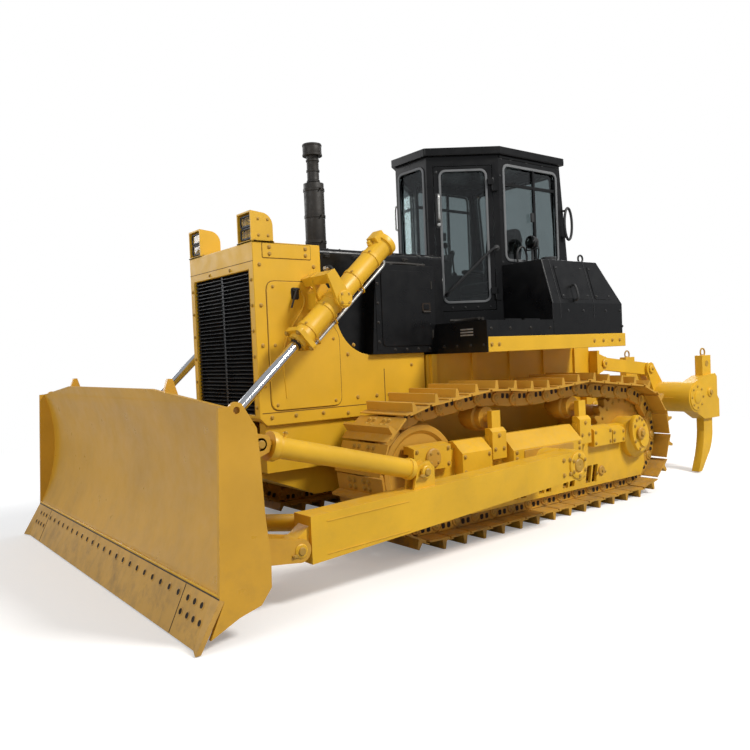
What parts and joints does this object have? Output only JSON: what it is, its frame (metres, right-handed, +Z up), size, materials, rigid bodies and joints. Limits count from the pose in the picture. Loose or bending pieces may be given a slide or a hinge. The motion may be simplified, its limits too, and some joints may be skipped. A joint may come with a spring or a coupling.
{
  "type": "crawler bulldozer",
  "caption": "Yellow crawler bulldozer with a straight tilt blade on outside push arms, a six-sided cab with a door on each front corner, and a parallel-link ripper with curved shanks.",
  "frame": {"origin": "on the ground, halfway between the blade's cutting edge and the back of the ripper, on the middle plane", "axes": "+X to the blade (forward), +Y to the machine's left, +Z up"},
  "size_m": [6.89, 3.724, 3.398],
  "materials": {
    "yellow_paint": "worn satin paint",
    "black_paint": "satin",
    "track_paint": "worn paint, dusty",
    "dark_metal": "matt",
    "chrome": "polished",
    "glass": "clear",
    "lamp_glass": "clear",
    "black_plastic": "matt"
  },
  "bodies": {
    "chassis": {"belly_guard": "yellow_paint", "cab_glass": "glass", "cab_roof": "black_paint", "cab_shell": "black_paint", "carrier_rollers": "track_paint", "consoles": "black_plastic", "cowls": "black_paint", "deck": "black_paint", "engine": "dark_metal", "engine_hood": "black_paint", "exhaust_stack": "dark_metal", "fender_sills": "yellow_paint", "final_drives": "yellow_paint", "grille": "black_paint", "headlamp_boxes": "black_paint", "headlamps": "lamp_glass", "idlers": "track_paint", "lift_yokes": "yellow_paint", "main_frame": "yellow_paint", "operator_seat": "black_plastic", "radiator_core": "dark_metal", "radiator_guard": "yellow_paint", "rear_tanks": "black_paint", "ripper_bracket": "yellow_paint", "sprockets": "track_paint", "track_frame_left": "yellow_paint", "track_frame_right": "yellow_paint", "track_left": "track_paint", "track_right": "track_paint", "track_rollers": "track_paint"},
    "blade_frame": {"blade": "yellow_paint", "cutting_edge": "yellow_paint", "push_arms": "yellow_paint", "blade_braces": "yellow_paint", "blade_struts": "yellow_paint"},
    "door_left": {"cab_door_left": "black_paint", "door_glass_left": "glass"},
    "door_right": {"cab_door_right": "black_paint", "door_glass_right": "glass"},
    "lift_barrel_left": {"lift_barrel_left": "yellow_paint"},
    "lift_barrel_right": {"lift_barrel_right": "yellow_paint"},
    "lift_rod_left": {"lift_rod_left": "chrome"},
    "lift_rod_right": {"lift_rod_right": "chrome"},
    "ripper_arm_frame": {"ripper_arms": "yellow_paint"},
    "ripper_tool": {"ripper_beam": "yellow_paint", "ripper_shanks": "yellow_paint"},
    "ripper_link_pair": {"ripper_links": "yellow_paint"},
    "ripper_barrel_left": {"ripper_barrel_left": "yellow_paint"},
    "ripper_barrel_right": {"ripper_barrel_right": "yellow_paint"},
    "ripper_rod_left": {"ripper_rod_left": "chrome"},
    "ripper_rod_right": {"ripper_rod_right": "chrome"}
  },
  "joints": [
    {"name": "blade_lift", "type": "hinge", "parent": "chassis", "child": "blade_frame", "pos_m": [0.005, 0, 0.53], "axis": [0, -1, 0], "range_deg": [-9.7, 22]},
    {"name": "lift_swing_left", "type": "hinge", "parent": "chassis", "child": "lift_barrel_left", "pos_m": [1.741, 0.79, 1.926], "axis": [0, -1, 0], "range_deg": [-14.6, 33.1]},
    {"name": "lift_stroke_left", "type": "slide", "parent": "lift_barrel_left", "child": "lift_rod_left", "axis": [0.7424, 0, -0.67], "range_m": [-0.762, 0.336]},
    {"name": "lift_swing_right", "type": "hinge", "parent": "chassis", "child": "lift_barrel_right", "pos_m": [1.741, -0.79, 1.926], "axis": [0, -1, 0], "range_deg": [-14.6, 33.1]},
    {"name": "lift_stroke_right", "type": "slide", "parent": "lift_barrel_right", "child": "lift_rod_right", "axis": [0.7424, 0, -0.67], "range_m": [-0.762, 0.336]},
    {"name": "door_swing_left", "type": "hinge", "parent": "chassis", "child": "door_left", "pos_m": [-0.24346, 0.6025, 2.5], "axis": [0, 0, 1], "range_deg": [0, 100]},
    {"name": "door_swing_right", "type": "hinge", "parent": "chassis", "child": "door_right", "pos_m": [-0.24346, -0.6025, 2.5], "axis": [0, 0, -1], "range_deg": [0, 100]},
    {"name": "ripper_lift", "type": "hinge", "parent": "chassis", "child": "ripper_arm_frame", "pos_m": [-1.825, 0, 0.84], "axis": [0, 1, 0], "range_deg": [-53, 37.2]},
    {"name": "ripper_level", "type": "hinge", "parent": "ripper_arm_frame", "child": "ripper_tool", "pos_m": [-2.71, 0, 0.74], "axis": [0, 1, 0], "range_deg": [-37.3, 53.1]},
    {"name": "ripper_link_swing", "type": "hinge", "parent": "chassis", "child": "ripper_link_pair", "pos_m": [-1.825, 0, 1.3], "axis": [0, 1, 0], "range_deg": [-53.1, 37.3]},
    {"name": "ripper_swing_left", "type": "hinge", "parent": "chassis", "child": "ripper_barrel_left", "pos_m": [-1.825, 0.25, 1.3], "axis": [0, 1, 0], "range_deg": [-39.2, 27.5]},
    {"name": "ripper_stroke_left", "type": "slide", "parent": "ripper_barrel_left", "child": "ripper_rod_left", "axis": [-0.845, 0, -0.5347], "range_m": [-0.232, 0.33]},
    {"name": "ripper_swing_right", "type": "hinge", "parent": "chassis", "child": "ripper_barrel_right", "pos_m": [-1.825, -0.25, 1.3], "axis": [0, 1, 0], "range_deg": [-39.2, 27.5]},
    {"name": "ripper_stroke_right", "type": "slide", "parent": "ripper_barrel_right", "child": "ripper_rod_right", "axis": [-0.845, 0, -0.5347], "range_m": [-0.232, 0.33]}
  ],
  "couplings": [
    {"joint": "lift_swing_left", "follows": "blade_lift", "ratio": 1.5023},
    {"joint": "lift_stroke_left", "follows": "blade_lift", "m_per_rad": -1.9838},
    {"joint": "lift_swing_right", "follows": "blade_lift", "ratio": 1.5023},
    {"joint": "lift_stroke_right", "follows": "blade_lift", "m_per_rad": -1.9838},
    {"joint": "ripper_level", "follows": "ripper_lift", "ratio": -1},
    {"joint": "ripper_link_swing", "follows": "ripper_lift", "ratio": 1},
    {"joint": "ripper_swing_left", "follows": "ripper_lift", "ratio": 0.7386},
    {"joint": "ripper_stroke_left", "follows": "ripper_lift", "m_per_rad": -0.3564},
    {"joint": "ripper_swing_right", "follows": "ripper_lift", "ratio": 0.7386},
    {"joint": "ripper_stroke_right", "follows": "ripper_lift", "m_per_rad": -0.3564}
  ]
}
